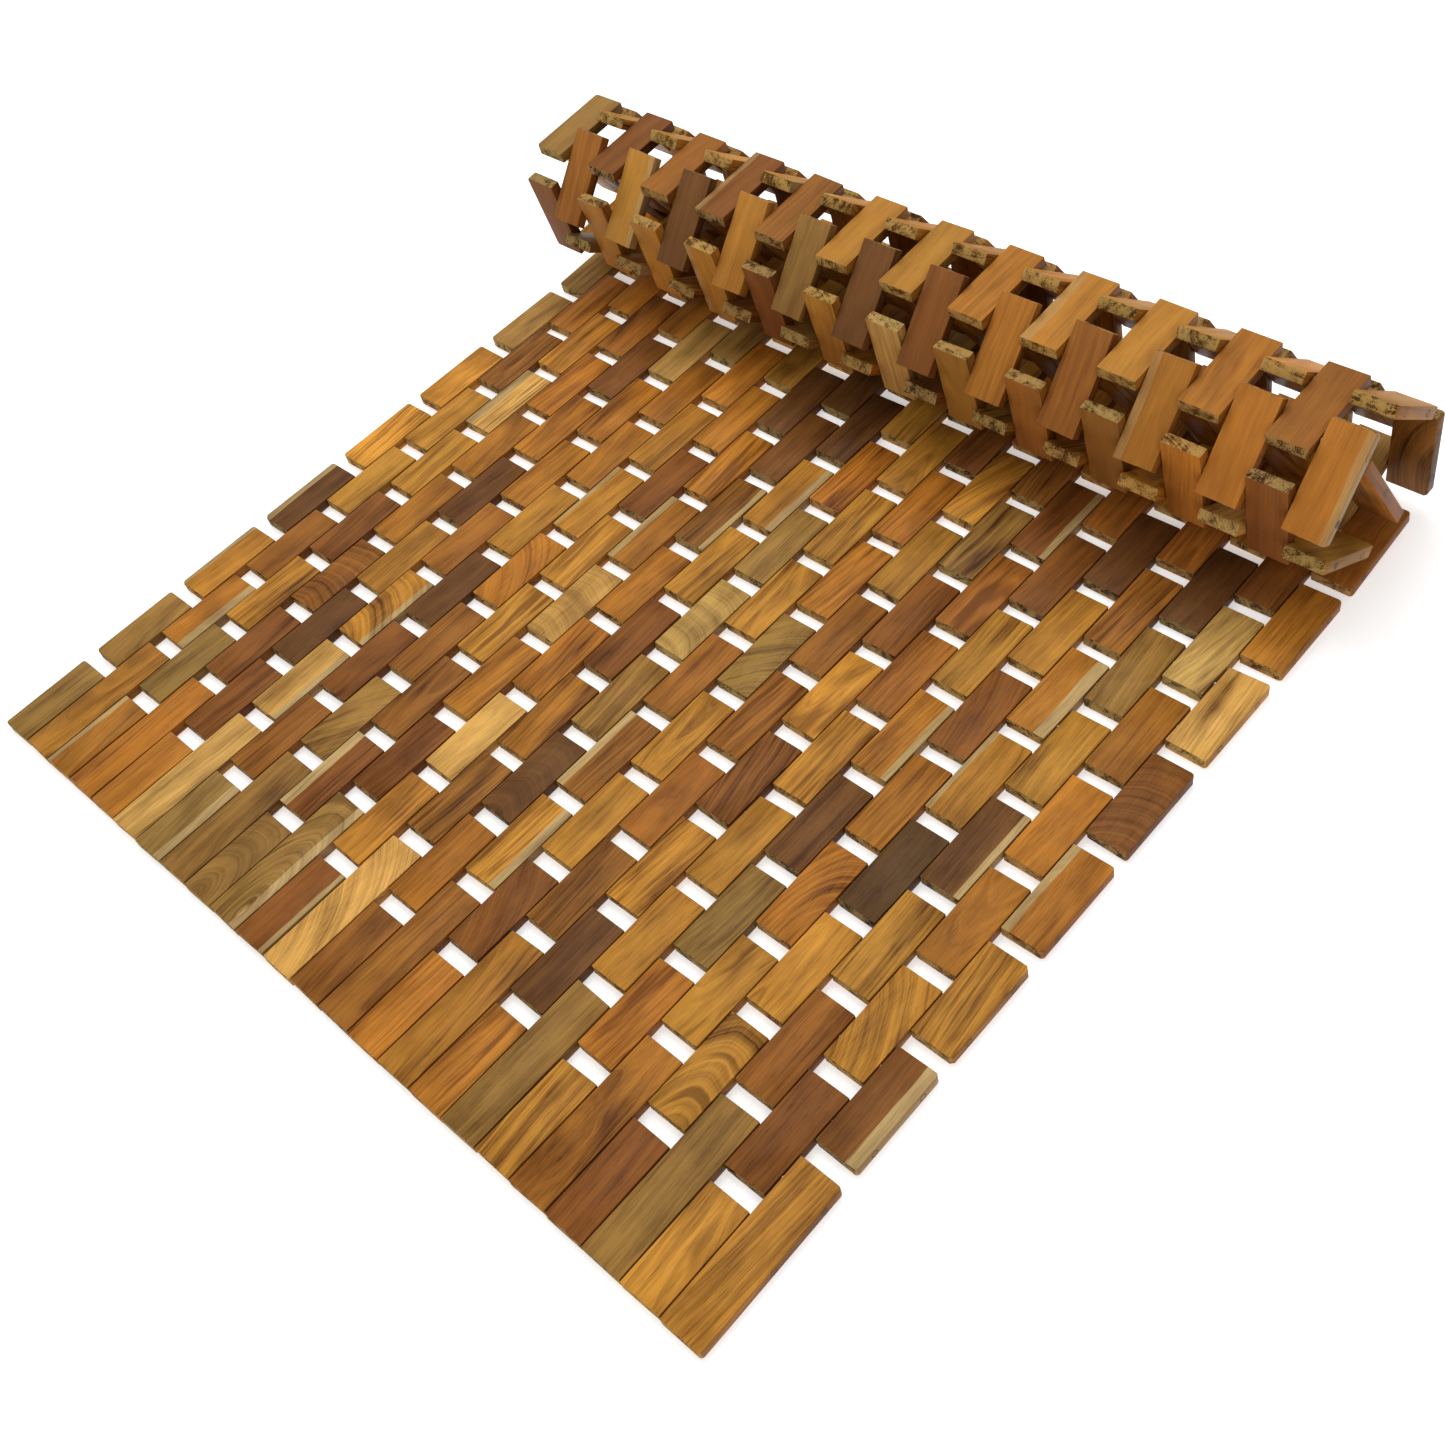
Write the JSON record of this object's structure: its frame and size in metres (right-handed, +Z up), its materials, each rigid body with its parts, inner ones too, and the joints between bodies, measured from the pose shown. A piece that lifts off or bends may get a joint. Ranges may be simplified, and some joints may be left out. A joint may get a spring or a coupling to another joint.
{
  "type": "roll-up bath mat",
  "caption": "Roll-up bath mat of oiled hardwood blocks in running bond, threaded on hidden cross rods, with its far end rolled up.",
  "frame": {"origin": "on the floor under the middle of the mat's outline, as it lies with its far end rolled up", "axes": "+X across the mat, +Y along it from the flat near edge to the rolled end, +Z up"},
  "size_m": [0.4996, 0.5088, 0.1012],
  "materials": {
    "teak_mid": "oiled hardwood, mid brown, straight grain with dark streaks",
    "teak_gold": "oiled hardwood, golden tan, straight grain",
    "teak_dark": "oiled hardwood, dark reddish brown, close grain",
    "steel_rod": "plain drawn stainless wire rod"
  },
  "bodies": {
    "near_edge": {"row_01": "teak_gold", "row_02": "teak_dark", "edge_rod": "steel_rod"},
    "row_03_body": {"row_03": "teak_mid"},
    "row_04_body": {"row_04": "teak_gold"},
    "row_05_body": {"row_05": "teak_dark"},
    "row_06_body": {"row_06": "teak_mid"},
    "row_07_body": {"row_07": "teak_gold"},
    "row_08_body": {"row_08": "teak_dark"},
    "row_09_body": {"row_09": "teak_mid"},
    "row_10_body": {"row_10": "teak_gold"},
    "row_11_body": {"row_11": "teak_dark"},
    "row_12_body": {"row_12": "teak_mid"},
    "row_13_body": {"row_13": "teak_gold"},
    "row_14_body": {"row_14": "teak_dark"},
    "row_15_body": {"row_15": "teak_mid"},
    "row_16_body": {"row_16": "teak_gold"},
    "row_17_body": {"row_17": "teak_dark"},
    "row_18_body": {"row_18": "teak_mid"},
    "row_19_body": {"row_19": "teak_gold"},
    "row_20_body": {"row_20": "teak_dark"},
    "row_21_body": {"row_21": "teak_mid"},
    "row_22_body": {"row_22": "teak_gold"},
    "row_23_body": {"row_23": "teak_dark"},
    "row_24_body": {"row_24": "teak_mid"},
    "row_25_body": {"row_25": "teak_gold"},
    "far_edge": {"row_26": "teak_dark", "row_27": "teak_mid"}
  },
  "joints": [
    {"name": "hinge_02_03", "type": "hinge", "parent": "row_03_body", "child": "near_edge", "pos_m": [0, -0.18609, 0.00318], "axis": [-1, 0, 0], "range_deg": [0, 48.01]},
    {"name": "hinge_03_04", "type": "hinge", "parent": "row_04_body", "child": "row_03_body", "pos_m": [0, -0.15724, 0.00318], "axis": [-1, 0, 0], "range_deg": [0, 48.01]},
    {"name": "roll_up_near_edge", "type": "hinge", "parent": "row_05_body", "child": "row_04_body", "pos_m": [0, -0.1284, 0.00318], "axis": [-1, 0, 0], "range_deg": [0, 48]},
    {"name": "hinge_05_06", "type": "hinge", "parent": "row_06_body", "child": "row_05_body", "pos_m": [0, -0.09955, 0.00318], "axis": [-1, 0, 0], "range_deg": [0, 24.01]},
    {"name": "hinge_06_07", "type": "hinge", "parent": "row_07_body", "child": "row_06_body", "pos_m": [0, -0.0707, 0.00318], "axis": [-1, 0, 0], "range_deg": [0, 7.21]},
    {"name": "hinge_07_08", "type": "hinge", "parent": "row_08_body", "child": "row_07_body", "pos_m": [0, -0.04186, 0.00318], "axis": [-1, 0, 0], "range_deg": [0, 24.01]},
    {"name": "hinge_08_09", "type": "hinge", "parent": "row_09_body", "child": "row_08_body", "pos_m": [0, -0.01301, 0.00318], "axis": [-1, 0, 0], "range_deg": [0, 24.01]},
    {"name": "lift_middle", "type": "hinge", "parent": "row_10_body", "child": "row_09_body", "pos_m": [0, 0.01583, 0.00318], "axis": [-1, 0, 0], "range_deg": [0, 24]},
    {"name": "hinge_10_11", "type": "hinge", "parent": "row_11_body", "child": "row_10_body", "pos_m": [0, 0.04468, 0.00318], "axis": [-1, 0, 0], "range_deg": [0, 18.01]},
    {"name": "hinge_11_12", "type": "hinge", "parent": "row_12_body", "child": "row_11_body", "pos_m": [0, 0.07353, 0.00318], "axis": [-1, 0, 0], "range_deg": [0, 7.21]},
    {"name": "hinge_12_13", "type": "hinge", "parent": "row_13_body", "child": "row_12_body", "pos_m": [0, 0.10237, 0.00318], "axis": [-1, 0, 0], "range_deg": [0, 1.93]},
    {"name": "hinge_13_14", "type": "hinge", "parent": "row_13_body", "child": "row_14_body", "pos_m": [0, 0.13122, 0.00318], "axis": [-1, 0, 0], "range_deg": [0, 1.01]},
    {"name": "hinge_14_15", "type": "hinge", "parent": "row_14_body", "child": "row_15_body", "pos_m": [0, 0.16006, 0.00369], "axis": [-1, 0, 0], "range_deg": [0, 2.01]},
    {"name": "hinge_15_16", "type": "hinge", "parent": "row_15_body", "child": "row_16_body", "pos_m": [0, 0.18887, 0.0052], "axis": [-1, 0, 0], "range_deg": [0, 6.01]},
    {"name": "lower_roll", "type": "hinge", "parent": "row_16_body", "child": "row_17_body", "pos_m": [0, 0.21736, 0.00971], "axis": [-1, 0, 0], "range_deg": [0, 16]},
    {"name": "unroll_far_end", "type": "hinge", "parent": "row_17_body", "child": "row_18_body", "pos_m": [0, 0.2435, 0.0219], "axis": [-1, 0, 0], "range_deg": [0, 69]},
    {"name": "hinge_18_19", "type": "hinge", "parent": "row_18_body", "child": "row_19_body", "pos_m": [0, 0.24149, 0.05068], "axis": [-1, 0, 0], "range_deg": [0, 30.01]},
    {"name": "hinge_19_20", "type": "hinge", "parent": "row_19_body", "child": "row_20_body", "pos_m": [0, 0.22536, 0.07459], "axis": [-1, 0, 0], "range_deg": [0, 18.01]},
    {"name": "hinge_20_21", "type": "hinge", "parent": "row_20_body", "child": "row_21_body", "pos_m": [0, 0.20263, 0.09235], "axis": [-1, 0, 0], "range_deg": [0, 42.01]},
    {"name": "hinge_21_22", "type": "hinge", "parent": "row_21_body", "child": "row_22_body", "pos_m": [0, 0.17386, 0.09034], "axis": [-1, 0, 0], "range_deg": [0, 44.01]},
    {"name": "hinge_22_23", "type": "hinge", "parent": "row_22_body", "child": "row_23_body", "pos_m": [0, 0.15455, 0.0689], "axis": [-1, 0, 0], "range_deg": [0, 50.01]},
    {"name": "hinge_23_24", "type": "hinge", "parent": "row_23_body", "child": "row_24_body", "pos_m": [0, 0.15857, 0.04034], "axis": [-1, 0, 0], "range_deg": [0, 50.01]},
    {"name": "hinge_24_25", "type": "hinge", "parent": "row_24_body", "child": "row_25_body", "pos_m": [0, 0.18303, 0.02505], "axis": [-1, 0, 0], "range_deg": [0, 37.01]},
    {"name": "hinge_25_26", "type": "hinge", "parent": "row_25_body", "child": "far_edge", "pos_m": [0, 0.21177, 0.02756], "axis": [-1, 0, 0], "range_deg": [0, 117.51]}
  ],
  "couplings": [
    {"joint": "hinge_02_03", "follows": "roll_up_near_edge", "ratio": 1},
    {"joint": "hinge_03_04", "follows": "roll_up_near_edge", "ratio": 1},
    {"joint": "hinge_05_06", "follows": "roll_up_near_edge", "ratio": 0.5},
    {"joint": "hinge_06_07", "follows": "roll_up_near_edge", "ratio": 0.15},
    {"joint": "hinge_07_08", "follows": "lift_middle", "ratio": 1},
    {"joint": "hinge_08_09", "follows": "lift_middle", "ratio": 1},
    {"joint": "hinge_10_11", "follows": "lift_middle", "ratio": 0.75},
    {"joint": "hinge_11_12", "follows": "lift_middle", "ratio": 0.3},
    {"joint": "hinge_12_13", "follows": "lift_middle", "ratio": 0.08},
    {"joint": "hinge_13_14", "follows": "lower_roll", "ratio": 0.0625},
    {"joint": "hinge_14_15", "follows": "lower_roll", "ratio": 0.125},
    {"joint": "hinge_15_16", "follows": "lower_roll", "ratio": 0.375},
    {"joint": "hinge_18_19", "follows": "unroll_far_end", "ratio": 0.43478},
    {"joint": "hinge_19_20", "follows": "unroll_far_end", "ratio": 0.26087},
    {"joint": "hinge_20_21", "follows": "unroll_far_end", "ratio": 0.6087},
    {"joint": "hinge_21_22", "follows": "unroll_far_end", "ratio": 0.63768},
    {"joint": "hinge_22_23", "follows": "unroll_far_end", "ratio": 0.72464},
    {"joint": "hinge_23_24", "follows": "unroll_far_end", "ratio": 0.72464},
    {"joint": "hinge_24_25", "follows": "unroll_far_end", "ratio": 0.53623},
    {"joint": "hinge_25_26", "follows": "unroll_far_end", "ratio": 1.7029}
  ]
}
